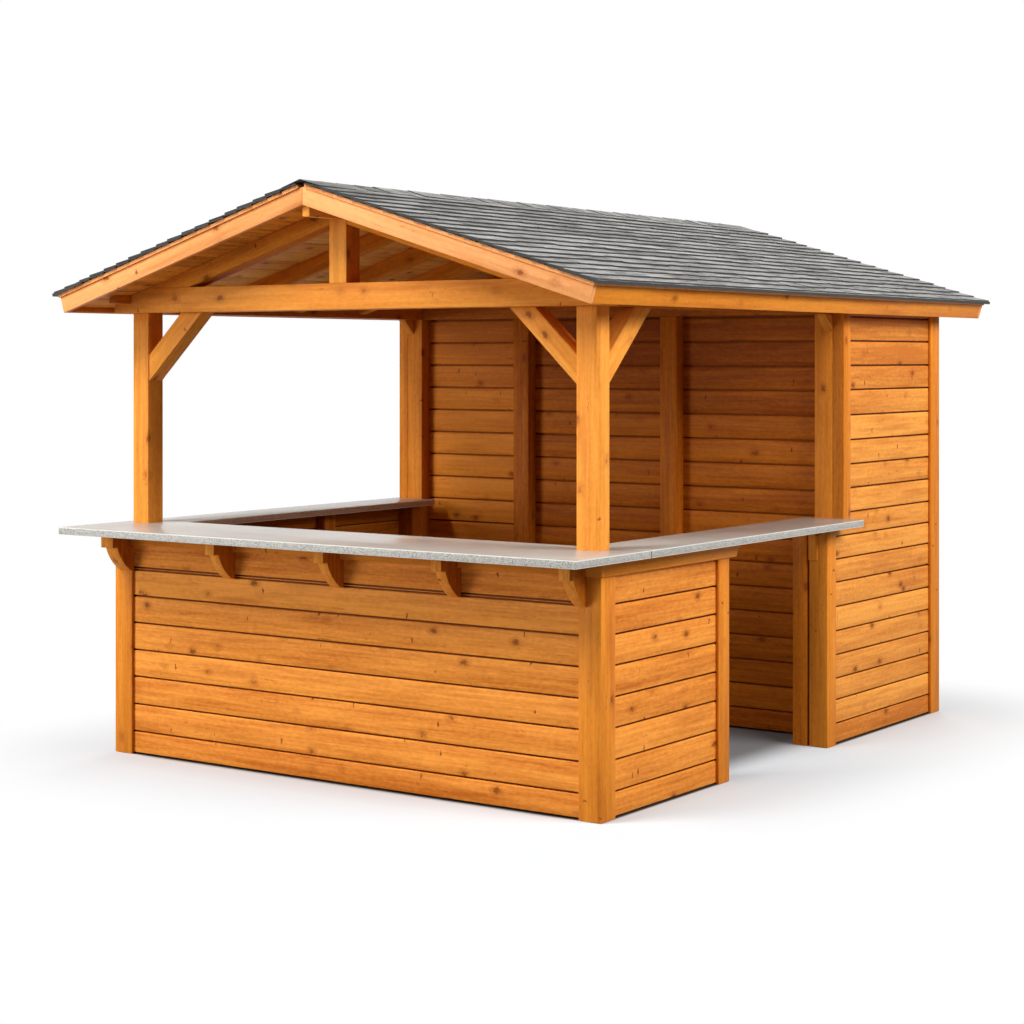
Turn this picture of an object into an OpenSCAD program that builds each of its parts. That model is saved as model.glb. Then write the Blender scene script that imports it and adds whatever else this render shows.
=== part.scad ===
// Garden bar gazebo: a timber bar on three sides with a stone counter, a closed store
// behind it and one low gable roof over both. Millimetres, +Z up. The origin lies on the
// ground at the middle of the plan, the bar front faces -Y and the ridge runs along Y.

/* [Plan] */
// Width over the corner trims
bar_w = 2768; // [2700:1:2900]
// Depth from the front trims to the rear trims
bar_d = 3360; // [3200:1:3700]
// Distance from the front to the near side of the entry
entry_y = 1063; // [950:1:1150]
// Clear width of the entry under the counter
entry_w = 967; // [860:1:1000]
// Distance from the front to the face of the store posts
store_y = 2210; // [2190:1:2350]

/* [Walls and trims] */
// Thickness of the wall boards
wall_t = 44; // [30:1:55]
// Gap between the wall boards and the ground
ground_gap = 8; // [2:1:30]
// Thickness of the corner trims
trim_t = 16; // [10:1:20]
// Face width of a corner trim
trim_w = 111; // [80:1:130]
// Side width of the trim at the end of the short bar wall
end_trim_w = 97; // [70:1:120]
// Face width of the trim at the far side of the entry
jamb_trim_w = 98; // [80:1:110]
// Face width of the cleat at the top of that trim
cleat_w = 48; // [35:1:75]
// Height of that cleat
cleat_h = 160; // [80:1:200]
// Thickness of that cleat
cleat_t = 10; // [6:1:16]
// Side width of the trims beside the store posts
store_trim_w = 78; // [50:1:100]
// Thickness of the boards between bar and store
partition_t = 28; // [18:1:40]
// Face width of the studs on the partition
stud_w = 100; // [70:1:120]
// Distance between the middles of the partition studs
stud_step = 930; // [700:1:1100]
// Sideways place of the middle between the partition studs
stud_mid = -82; // [-120:1:120]

/* [Bar frame] */
// Width of the studs inside the bar walls
bar_stud_w = 90; // [60:1:110]
// Depth of the studs inside the bar walls
bar_stud_d = 60; // [40:1:80]
// Distance between the middles of the front bar studs
bar_stud_step = 880; // [600:1:1100]
// Distance from the front to the middle of the left bar stud
left_stud_y = 1459; // [1000:1:1700]
// Width of the post inside the far side of the entry
jamb_post_w = 78; // [60:1:90]
// Gap between that post and the trim beside it
jamb_gap = 11; // [6:1:24]
// Depth of the posts that only carry the counter
prop_d = 84; // [60:1:100]

/* [Counter] */
// Height of the counter top above the ground
counter_h = 1100; // [1000:1:1200]
// Thickness of the counter slabs
slab_t = 33; // [25:1:50]
// Overhang of the counter in front of the corner trims
counter_front = 352; // [250:1:400]
// Overhang of the counter outside the left trims
counter_left = 14; // [12:1:120]
// Overhang of the counter outside the right trims
counter_right = 108; // [12:1:140]
// Distance from the front to the inner edge of the front slab
front_slab_y = 215; // [190:1:300]
// Width of the left slab
left_slab_w = 266; // [240:1:380]
// Width of the right slab
right_slab_w = 322; // [300:1:380]
// Open seam between two slabs
slab_seam = 5; // [1:0.5:8]
// Clearance of the slab around a post
post_clear = 2; // [1:0.5:5]
// Height of the rail under the counter
rail_h = 67; // [50:1:90]
// Thickness of the rail under the counter
rail_t = 26; // [22:1:34]
// Reach of the coved rail end beyond the short wall
rail_horn = 112; // [95:1:150]
// Height of the square nib over the cove of the rail end
rail_nib = 8; // [4:1:15]
// Gap at the mitres of rails and bargeboards
mitre_gap = 1; // [0.6:0.1:2]

/* [Corbels] */
// Number of corbels under the front overhang
corbel_n = 5; // [2:1:7]
// Distance from the left trim face to the middle of the first corbel
corbel_left_in = 86; // [30:1:160]
// Distance from the right trim face to the middle of the last corbel
corbel_right_in = 96; // [30:1:160]
// Thickness of a corbel
corbel_t = 55; // [35:1:70]
// Thickness of the first corbel, on the left trim
corbel_left_t = 79; // [35:1:85]
// Reach of a corbel in front of the corner trims
corbel_reach = 128; // [110:1:220]
// Height of a corbel
corbel_h = 192; // [170:1:240]
// Height of the square lip at the tip of a corbel
corbel_lip = 76; // [40:1:90]
// Step from the lip back to the belly
corbel_step = 30; // [6:1:45]
// Gap between the toe of the belly and the face of the trims
corbel_toe = 6; // [0:1:20]
// Radius of the belly
belly_r = 220; // [150:1:400]

/* [Posts and beams] */
// Side of the square main posts
post = 100; // [80:1:110]
// Height of the main posts
post_h = 2105; // [2000:1:2300]
// Height of the front tie beam
beam_h = 117; // [100:1:130]
// Depth of the front tie beam
beam_d = 130; // [100:1:150]
// Overhang of the tie beam beyond the trims at each end
beam_over = 6; // [0:1:40]
// Depth of the king post
king_d = 95; // [70:1:110]
// Height of the wall plates at their outer face
plate_h = 69; // [50:1:100]
// Reach of the plate noses in front of the tie beam
nose_reach = 100; // [60:1:150]
// Width of a plate nose
nose_w = 47; // [30:1:70]
// Height of a plate nose at its outer face
nose_h = 26; // [15:1:45]
// Height of the beam on top of the partition
store_beam_h = 94; // [60:1:98]
// Width of a knee brace across its length
brace_w = 91; // [60:1:100]
// Thickness of a knee brace
brace_t = 90; // [60:1:100]
// Reach of a knee brace along the beam
brace_reach = 343; // [260:1:420]
// Height of a knee brace along the post
brace_rise = 326; // [260:1:420]
// Reach of the small brackets on the store posts
bracket_reach = 88; // [60:1:200]
// Height of the small brackets on the store posts
bracket_h = 84; // [60:1:140]
// Thickness of the small brackets on the store posts
bracket_t = 45; // [30:1:80]

/* [Roof] */
// Slope of the roof in degrees
roof_pitch = 16.9; // [14:0.1:20]
// Eave overhang beyond the side trims
eave_over = 120; // [80:1:200]
// Roof overhang in front of the front trims
front_over = 240; // [200:1:300]
// Roof overhang behind the rear trims
rear_over = 300; // [180:1:340]
// Thickness of the boarded roof panel
panel_t = 54; // [40:1:80]
// Thickness of the deck boards on the panel
deck_t = 15; // [10:1:22]
// Overhang of the deck boards beyond bargeboards and fascias
deck_over = 8; // [4:1:15]
// Thickness of the shingle layer
shingle_t = 13; // [6:1:16]
// Overhang of the shingles beyond the fascias
shingle_over = 46; // [20:1:60]
// Overhang of the shingles beyond the bargeboards
verge_over = 20; // [10:1:40]
// Width of one side of the ridge cap
cap_w = 105; // [80:1:160]
// Thickness of the ridge cap
cap_t = 6; // [4:1:14]
// Thickness of bargeboards and fascias
barge_t = 24; // [18:1:35]
// Drop of the bargeboards below the roof panel
barge_drop = 22; // [10:1:40]
// Width of the ridge beam
ridge_w = 41; // [30:1:60]
// Height of the ridge beam
ridge_h = 72; // [50:1:90]
// Width of a rafter
rafter_w = 60; // [40:1:80]
// Depth of a rafter
rafter_d = 77; // [60:1:90]
// Number of rafter pairs between the front truss and the partition
rafter_n = 3; // [1:1:4]

/* [Hidden] */
$fn = 48;

// Overrun of cuts past the faces that they go through
over = 1;

// Colours of the stained pine, the stone and the roofing
pine = [0.80, 0.48, 0.20];
pine_dark = [0.58, 0.31, 0.12];
stone = [0.62, 0.63, 0.61];
slate = [0.24, 0.25, 0.26];

// Faces of the plan, counted from the middle line and from the front trims
trim_x = bar_w / 2;
wall_x = trim_x - trim_t;
post_x = wall_x - wall_t;
inner_x = post_x - post;
post_y = trim_t + wall_t;
rear_wall_y = bar_d - trim_t;
rear_post_y = rear_wall_y - wall_t;
jamb_y = entry_y + entry_w;
end_wall_y = entry_y - trim_t;
lower_wall_y = jamb_y + trim_t;
store_wall_y = store_y + trim_t;
partition_y = store_y + post - partition_t;

// Levels
slab_z = counter_h - slab_t;
rail_z = slab_z - rail_h;
beam_z = post_h + beam_h;

// Roof planes: each is a height over the middle line that falls with the slope
slope = tan(roof_pitch);
rise = 1 / cos(roof_pitch);
ceiling_z = post_h + plate_h + slope * post_x;
panel_z = ceiling_z + panel_t * rise;
deck_z = panel_z + deck_t * rise;
shingle_z = deck_z + shingle_t * rise;
cap_z = shingle_z + cap_t * rise;
rafter_z = ceiling_z - rafter_d * rise;
barge_z = ceiling_z - barge_drop;
barge_depth = (panel_z - barge_z) * cos(roof_pitch);
ridge_z = ceiling_z - ridge_h;
eave_x = trim_x + eave_over;
panel_x = eave_x - barge_t * cos(roof_pitch);
deck_x = eave_x + deck_over;
shingle_x = eave_x + shingle_over;
trim_top = ceiling_z - slope * trim_x;
wall_top = ceiling_z - slope * wall_x;

// Roof ends, counted from the front trims
barge_front = -front_over;
barge_rear = bar_d + rear_over;
panel_front = barge_front + barge_t;
panel_rear = barge_rear - barge_t;
shingle_front = barge_front - verge_over;
shingle_rear = barge_rear + verge_over;

// The front trims lie this far from the middle of the whole plan
plan_shift = -(min(-counter_front, shingle_front) + shingle_rear) / 2;

// Height of a roof plane at a distance from the middle line
function plane(top, x) = top - slope * x;

// The foot of a cut square to the slope, from a plane at a distance from the middle line
function square_end(x, top, depth) =
    [x - depth * sin(roof_pitch), plane(top, x) - depth * cos(roof_pitch)];

// A box between two corners given in plan distances from the front trims
module block(low, high) {
    translate([low[0], low[1] + plan_shift, low[2]])
        cube(high - low);
}

// The same box on the left of the middle line
module left_side() {
    mirror([1, 0, 0])
        children();
}

// An outline in width and height, extruded from front to back between two plan distances
module along_y(y0, y1) {
    translate([0, y1 + plan_shift, 0])
        rotate([90, 0, 0])
            linear_extrude(y1 - y0)
                children();
}

// An outline in depth and height, extruded sideways between two widths
module along_x(x0, x1) {
    translate([x0, plan_shift, 0])
        rotate([90, 0, 90])
            linear_extrude(x1 - x0)
                children();
}

// A main post with its near right corner at the given plan distance
module main_post(y) {
    block([inner_x, y, 0], [post_x, y + post, post_h]);
}

module front_left_post() {
    color(pine)
        left_side()
            main_post(post_y);
}

module front_right_post() {
    color(pine)
        main_post(post_y);
}

module store_left_post() {
    color(pine)
        left_side()
            main_post(store_y);
}

module store_right_post() {
    color(pine)
        main_post(store_y);
}

module rear_left_post() {
    color(pine)
        left_side()
            main_post(rear_post_y - post);
}

module rear_right_post() {
    color(pine)
        main_post(rear_post_y - post);
}

// Bar walls stop under the counter, the front one covers the ends of the side ones
module front_bar_wall() {
    color(pine)
        block([-wall_x, trim_t, ground_gap], [wall_x, post_y, slab_z]);
}

module left_bar_wall() {
    color(pine)
        block([-wall_x, post_y, ground_gap], [-post_x, store_wall_y, slab_z]);
}

module right_bar_wall() {
    color(pine)
        block([post_x, post_y, ground_gap], [wall_x, end_wall_y, slab_z]);
}

// Studs behind the front and left bar walls, up to the underside of the counter
module bar_wall_studs() {
    color(pine_dark) {
        for (side = [-1, 1])
            translate([side * bar_stud_step / 2, 0, 0])
                block([-bar_stud_w / 2, post_y, 0], [bar_stud_w / 2, post_y + bar_stud_d, slab_z]);
        block([-post_x, left_stud_y - bar_stud_w / 2, 0],
              [-post_x + bar_stud_d, left_stud_y + bar_stud_w / 2, slab_z]);
    }
}

// Short posts that carry the counter on both sides of the entry and at the left store post
module counter_props() {
    color(pine_dark) {
        block([inner_x, end_wall_y - prop_d, 0], [post_x, end_wall_y, slab_z]);
        block([trim_x - jamb_trim_w - jamb_gap - jamb_post_w, jamb_y, 0],
              [trim_x - jamb_trim_w - jamb_gap, jamb_y + prop_d, slab_z]);
        block([-post_x, store_y - prop_d, 0], [-inner_x, store_y, slab_z]);
    }
}

// A front corner trim: two boards in one angle, under the rail
module front_corner_trim() {
    block([trim_x - trim_w, 0, 0], [trim_x, trim_t, rail_z]);
    block([wall_x, trim_t, 0], [trim_x, trim_w, rail_z]);
}

module front_left_corner_trim() {
    color(pine)
        left_side()
            front_corner_trim();
}

module front_right_corner_trim() {
    color(pine)
        front_corner_trim();
}

module entry_end_trim() {
    color(pine) {
        block([inner_x, end_wall_y, 0], [trim_x, entry_y, rail_z]);
        block([wall_x, entry_y - end_trim_w, 0], [trim_x, end_wall_y, rail_z]);
    }
}

// The trim at the far side of the entry, with a cleat on it that carries the counter
module entry_jamb_trim() {
    cleat_x = trim_x - jamb_trim_w;
    color(pine) {
        block([cleat_x, jamb_y - cleat_t, slab_z - cleat_h], [cleat_x + cleat_w, jamb_y, slab_z]);
        block([trim_x - jamb_trim_w, jamb_y, 0], [trim_x, lower_wall_y, slab_z]);
        block([wall_x, lower_wall_y, 0], [trim_x, jamb_y + jamb_trim_w, slab_z]);
    }
}

// The angle trim beside a store post, from the counter level to the roof
module store_trim() {
    block([post_x, store_y, slab_z], [trim_x, store_wall_y, trim_top]);
    block([wall_x, store_wall_y, slab_z], [trim_x, store_y + store_trim_w, trim_top]);
}

module store_trims() {
    color(pine) {
        store_trim();
        left_side()
            store_trim();
    }
}

module rear_corner_trim() {
    block([trim_x - trim_w, rear_wall_y, 0], [trim_x, bar_d, trim_top]);
    block([wall_x, bar_d - trim_w, 0], [trim_x, rear_wall_y, trim_top]);
}

module rear_corner_trims() {
    color(pine) {
        rear_corner_trim();
        left_side()
            rear_corner_trim();
    }
}

// Rails under the counter. The right one ends in a cove beyond the short wall
module counter_rails() {
    rail_x = wall_x + rail_t;
    horn_end = entry_y + rail_horn;
    color(pine) {
        block([-rail_x, trim_t - rail_t, rail_z], [rail_x, trim_t, slab_z]);
        block([-rail_x, trim_t + mitre_gap, rail_z], [-wall_x, store_y, slab_z]);
        along_x(wall_x, rail_x)
            difference() {
                translate([trim_t + mitre_gap, rail_z])
                    square([horn_end - trim_t - mitre_gap, rail_h]);
                translate([horn_end, rail_z])
                    circle(r = rail_h - rail_nib);
            }
    }
}

// The front slab is let in round both front posts
module front_counter() {
    color(stone)
        difference() {
            block([-trim_x - counter_left, -counter_front, slab_z],
                  [trim_x + counter_right, front_slab_y, counter_h]);
            for (x = [-post_x, inner_x])
                block([x - post_clear, post_y - post_clear, slab_z - over],
                      [x + post + post_clear, post_y + post + post_clear, counter_h + over]);
        }
}

module left_counter() {
    color(stone)
        block([-trim_x - counter_left, front_slab_y + slab_seam, slab_z],
              [-trim_x - counter_left + left_slab_w, store_y, counter_h]);
}

module right_counter() {
    color(stone)
        block([trim_x + counter_right - right_slab_w, front_slab_y + slab_seam, slab_z],
              [trim_x + counter_right, store_y, counter_h]);
}

// Outline of a corbel in depth and height: a lip over a belly that is an arc through the
// foot of the lip and the toe. Its back is notched over the rail
module corbel_outline(back) {
    rail_face = trim_t - rail_t;
    lip_z = slab_z - corbel_lip;
    toe_z = slab_z - corbel_h;
    belly_y = -corbel_reach + corbel_step;
    run = -corbel_toe - belly_y;
    fall = lip_z - toe_z;
    chord = norm([run, fall]);
    centre_off = sqrt(pow(belly_r, 2) - pow(chord / 2, 2)) / chord;
    difference() {
        union() {
            translate([-corbel_reach, lip_z])
                square([corbel_reach + back, corbel_lip]);
            intersection() {
                translate([belly_y, toe_z])
                    square([back - belly_y, fall]);
                translate([belly_y + run / 2 + fall * centre_off, lip_z - fall / 2 + run * centre_off])
                    circle(r = belly_r);
            }
        }
        translate([rail_face, rail_z])
            square([rail_t + over, rail_h + over]);
    }
}

module corbels() {
    first = -trim_x + corbel_left_in;
    step = (trim_x - corbel_right_in - first) / (corbel_n - 1);
    color(pine)
        for (i = [0 : corbel_n - 1]) {
            x = first + i * step;
            on_trim = abs(x) + corbel_t / 2 > trim_x - trim_w;
            wide = i == 0 ? corbel_left_t : corbel_t;
            along_x(x + corbel_t / 2 - wide, x + corbel_t / 2)
                corbel_outline(on_trim ? 0 : trim_t);
        }
}

// Outline of a wall under the ceiling, with a notch for the ridge beam
module gable_outline(half_w) {
    polygon([[-half_w, ground_gap], [half_w, ground_gap], [half_w, plane(ceiling_z, half_w)],
             [ridge_w / 2, plane(ceiling_z, ridge_w / 2)], [ridge_w / 2, ridge_z],
             [-ridge_w / 2, ridge_z], [-ridge_w / 2, plane(ceiling_z, ridge_w / 2)],
             [-half_w, plane(ceiling_z, half_w)]]);
}

module partition_wall() {
    color(pine_dark)
        along_y(partition_y, store_y + post)
            gable_outline(inner_x);
}

module partition_studs() {
    color(pine_dark)
        for (side = [-1, 1])
            translate([stud_mid + side * stud_step / 2, 0, 0])
                block([-stud_w / 2, store_y, 0], [stud_w / 2, partition_y, post_h]);
}

module left_store_wall() {
    color(pine)
        block([-wall_x, store_wall_y, ground_gap], [-post_x, rear_post_y, wall_top]);
}

// Below the counter the right store wall reaches forward to the entry
module right_store_wall() {
    color(pine)
        along_x(post_x, wall_x)
            polygon([[lower_wall_y, ground_gap], [rear_post_y, ground_gap], [rear_post_y, wall_top],
                     [store_wall_y, wall_top], [store_wall_y, slab_z], [lower_wall_y, slab_z]]);
}

module rear_wall() {
    color(pine)
        along_y(rear_post_y, rear_wall_y)
            gable_outline(wall_x);
}

// The tie beam lies on the front posts, its top corners are cut to the ceiling
module tie_beam() {
    end_x = trim_x + beam_over;
    cut_x = (ceiling_z - beam_z) / slope;
    color(pine)
        along_y(0, beam_d)
            polygon([[-end_x, post_h], [end_x, post_h], [end_x, plane(ceiling_z, end_x)],
                     [cut_x, beam_z], [-cut_x, beam_z], [-end_x, plane(ceiling_z, end_x)]]);
}

module king_post() {
    color(pine)
        block([-post / 2, 0, beam_z], [post / 2, king_d, ridge_z]);
}

// Rafters of the front truss, from the tie beam to the king post and the ridge beam
module truss_rafter() {
    half_king = post / 2;
    along_y(0, king_d)
        polygon([[ridge_w / 2, plane(ceiling_z, ridge_w / 2)], [ridge_w / 2, ridge_z],
                 [half_king, ridge_z], [half_king, plane(rafter_z, half_king)],
                 [(rafter_z - beam_z) / slope, beam_z], [(ceiling_z - beam_z) / slope, beam_z]]);
}

module truss_rafters() {
    color(pine_dark) {
        truss_rafter();
        left_side()
            truss_rafter();
    }
}

// A rafter from the wall plate to the ridge beam, with its middle at a plan distance
module rafter(y) {
    along_y(y - rafter_w / 2, y + rafter_w / 2)
        polygon([[ridge_w / 2, plane(ceiling_z, ridge_w / 2)], [inner_x, plane(ceiling_z, inner_x)],
                 [inner_x, plane(rafter_z, inner_x)], [ridge_w / 2, plane(rafter_z, ridge_w / 2)]]);
}

// Rafter pairs over the bar, evenly spaced, and one pair over the middle of the store
module rafters() {
    step = (store_y - king_d) / (rafter_n + 1);
    store_mid = (store_y + post + rear_post_y) / 2;
    places = [for (i = [1 : rafter_n]) king_d + i * step, store_mid];
    color(pine_dark)
        for (y = places) {
            rafter(y);
            left_side()
                rafter(y);
        }
}

module store_beam() {
    color(pine_dark)
        block([-inner_x, store_y, post_h], [inner_x, partition_y, post_h + store_beam_h]);
}

// Wall plates on the posts, planed to the slope of the ceiling
module plate() {
    along_y(beam_d, rear_post_y)
        polygon([[inner_x, post_h], [post_x, post_h], [post_x, plane(ceiling_z, post_x)],
                 [inner_x, plane(ceiling_z, inner_x)]]);
    plate_nose();
}

// The nose in front of the tie beam that carries the ceiling of the front overhang
module plate_nose() {
    nose_x = post_x - nose_w;
    nose_z = plane(ceiling_z, post_x) - nose_h;
    along_y(-nose_reach, 0)
        polygon([[nose_x, nose_z], [post_x, nose_z], [post_x, plane(ceiling_z, post_x)],
                 [nose_x, plane(ceiling_z, nose_x)]]);
}

module left_plate() {
    color(pine_dark)
        left_side()
            plate();
}

module right_plate() {
    color(pine_dark)
        plate();
}

module ridge_beam() {
    color(pine)
        along_y(panel_front, panel_rear)
            polygon([[-ridge_w / 2, ridge_z], [ridge_w / 2, ridge_z],
                     [ridge_w / 2, plane(ceiling_z, ridge_w / 2)], [0, ceiling_z],
                     [-ridge_w / 2, plane(ceiling_z, ridge_w / 2)]]);
}

// Outline of a brace that leaves a post at start and rises to the beam
module brace_outline(start, way) {
    foot = post_h - brace_rise;
    long = norm([brace_reach, brace_rise]);
    top_cut = brace_w * long / brace_rise;
    side_cut = brace_w * long / brace_reach;
    polygon([[start, foot], [start + way * brace_reach, post_h],
             [start + way * (brace_reach - top_cut), post_h], [start, foot + side_cut]]);
}

module knee_brace_pair() {
    inset = (post - brace_t) / 2;
    along_y(post_y + inset, post_y + inset + brace_t)
        brace_outline(inner_x, -1);
    along_x(inner_x + inset, inner_x + inset + brace_t)
        brace_outline(post_y + post, 1);
}

module knee_braces() {
    color(pine) {
        knee_brace_pair();
        left_side()
            knee_brace_pair();
    }
}

// A bracket under the wall plate, flush with the outer face of a store post
module post_bracket() {
    along_x(post_x - bracket_t, post_x)
        polygon([[store_y, post_h], [store_y - bracket_reach, post_h], [store_y, post_h - bracket_h]]);
}

module post_brackets() {
    color(pine) {
        post_bracket();
        left_side()
            post_bracket();
    }
}

// A bargeboard from the mitre at the ridge down to the eave, where it is cut square
module bargeboard(y) {
    along_y(y, y + barge_t)
        polygon([[mitre_gap / 2, plane(panel_z, mitre_gap / 2)], [eave_x, plane(panel_z, eave_x)],
                 square_end(eave_x, panel_z, barge_depth),
                 [mitre_gap / 2, plane(barge_z, mitre_gap / 2)]]);
}

module front_bargeboards() {
    color(pine) {
        bargeboard(barge_front);
        left_side()
            bargeboard(barge_front);
    }
}

module rear_bargeboards() {
    color(pine) {
        bargeboard(panel_rear);
        left_side()
            bargeboard(panel_rear);
    }
}

// A fascia square to the slope, over the end of the roof panel
module eave_fascia() {
    along_y(panel_front, panel_rear)
        polygon([square_end(panel_x, panel_z, barge_depth), square_end(eave_x, panel_z, barge_depth),
                 [eave_x, plane(panel_z, eave_x)], [panel_x, plane(panel_z, panel_x)]]);
}

module eave_fascias() {
    color(pine) {
        eave_fascia();
        left_side()
            eave_fascia();
    }
}

// One side of a roof layer: from the ridge to a width, between two planes
module roof_layer(low, high, width, y0, y1) {
    along_y(y0, y1)
        polygon([[0, low], square_end(width, high, (high - low) * cos(roof_pitch)),
                 [width, plane(high, width)], [0, high]]);
}

// The boarded panel between the bargeboards with the deck boards on top of them
module roof_deck() {
    roof_layer(ceiling_z, panel_z, panel_x, panel_front, panel_rear);
    roof_layer(panel_z, deck_z, deck_x, barge_front - deck_over, barge_rear + deck_over);
}

module left_roof_deck() {
    color(pine_dark)
        left_side()
            roof_deck();
}

module right_roof_deck() {
    color(pine_dark)
        roof_deck();
}

module shingle_side() {
    roof_layer(deck_z, shingle_z, shingle_x, shingle_front, shingle_rear);
}

module left_shingles() {
    color(slate)
        left_side()
            shingle_side();
}

module right_shingles() {
    color(slate)
        shingle_side();
}

module ridge_cap() {
    color(slate)
        along_y(shingle_front, shingle_rear)
            polygon([[0, shingle_z], [cap_w, plane(shingle_z, cap_w)], [cap_w, plane(cap_z, cap_w)],
                     [0, cap_z], [-cap_w, plane(cap_z, cap_w)], [-cap_w, plane(shingle_z, cap_w)]]);
}

front_left_post();
front_right_post();
store_left_post();
store_right_post();
rear_left_post();
rear_right_post();
front_bar_wall();
left_bar_wall();
right_bar_wall();
bar_wall_studs();
counter_props();
front_left_corner_trim();
front_right_corner_trim();
entry_end_trim();
entry_jamb_trim();
store_trims();
rear_corner_trims();
counter_rails();
front_counter();
left_counter();
right_counter();
corbels();
partition_wall();
partition_studs();
left_store_wall();
right_store_wall();
rear_wall();
tie_beam();
king_post();
truss_rafters();
rafters();
store_beam();
left_plate();
right_plate();
ridge_beam();
knee_braces();
post_brackets();
front_bargeboards();
rear_bargeboards();
eave_fascias();
left_roof_deck();
right_roof_deck();
left_shingles();
right_shingles();
ridge_cap();
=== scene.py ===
import math
import random

import bpy
import numpy as np
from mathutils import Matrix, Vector


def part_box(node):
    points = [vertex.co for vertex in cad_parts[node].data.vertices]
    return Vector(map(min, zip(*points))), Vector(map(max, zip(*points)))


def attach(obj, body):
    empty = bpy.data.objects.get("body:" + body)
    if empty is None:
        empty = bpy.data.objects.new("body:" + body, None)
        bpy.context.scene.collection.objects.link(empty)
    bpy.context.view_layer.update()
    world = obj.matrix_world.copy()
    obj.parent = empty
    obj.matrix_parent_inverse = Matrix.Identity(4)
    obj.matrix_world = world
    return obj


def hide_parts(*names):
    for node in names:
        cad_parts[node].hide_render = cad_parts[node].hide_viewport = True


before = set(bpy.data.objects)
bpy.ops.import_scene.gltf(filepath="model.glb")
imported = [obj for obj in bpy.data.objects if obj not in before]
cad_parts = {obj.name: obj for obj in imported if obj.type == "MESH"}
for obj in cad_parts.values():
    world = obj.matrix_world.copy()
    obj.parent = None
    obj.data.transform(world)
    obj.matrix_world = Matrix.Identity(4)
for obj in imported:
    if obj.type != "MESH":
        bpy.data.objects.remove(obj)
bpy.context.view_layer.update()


# Main posts: six square posts of planed pine that stand on the ground and carry the beams.
# They are stained amber; the arrises are eased and the faces show grain, checks and knots.
def node_maker(finish):
    """Clears a material's nodes and returns a function that adds a node and wires its inputs."""
    finish.use_nodes = True
    tree = finish.node_tree
    tree.nodes.clear()

    def add(kind, inputs, **settings):
        made = tree.nodes.new(kind)
        for key, value in settings.items():
            setattr(made, key, value)
        for socket, value in inputs.items():
            if isinstance(value, bpy.types.NodeSocket):
                tree.links.new(value, made.inputs[socket])
            else:
                made.inputs[socket].default_value = value
        return made

    return add


def sums(add, kind, first, second):
    return add("ShaderNodeMath", {0: first, 1: second}, operation=kind).outputs[0]


def ramp(add, value, low, high, to_low, to_high):
    return add("ShaderNodeMapRange", {0: value, 1: low, 2: high, 3: to_low, 4: to_high}).outputs[0]


def tint(add, share, under, over, kind="MIX"):
    mixed = add("ShaderNodeMix", {0: share, 6: under, 7: over}, data_type="RGBA", blend_type=kind)
    return mixed.outputs[2]


def stretched(add, vector, scale):
    return add("ShaderNodeVectorMath", {0: vector, 1: scale}, operation="MULTIPLY").outputs[0]


def noise(add, vector, detail, part="Fac"):
    made = add("ShaderNodeTexNoise", {"Vector": vector, "Scale": 1.0, "Detail": detail, "Roughness": 0.55})
    return made.outputs[part]


def scattered(add, vector, scale, share, near, far):
    """Marks in a share of the cells of a stretched cell pattern, and the distance from their middles."""
    cells = add("ShaderNodeTexVoronoi", {"Vector": stretched(add, vector, scale), "Scale": 1.0})
    chance = add("ShaderNodeSeparateColor", {0: cells.outputs["Color"]}).outputs[0]
    chosen = ramp(add, chance, share, share + 0.001, 1.0, 0.0)
    away = cells.outputs["Distance"]
    return sums(add, "MULTIPLY", chosen, ramp(add, away, near, far, 1.0, 0.0)), chosen, away


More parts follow.
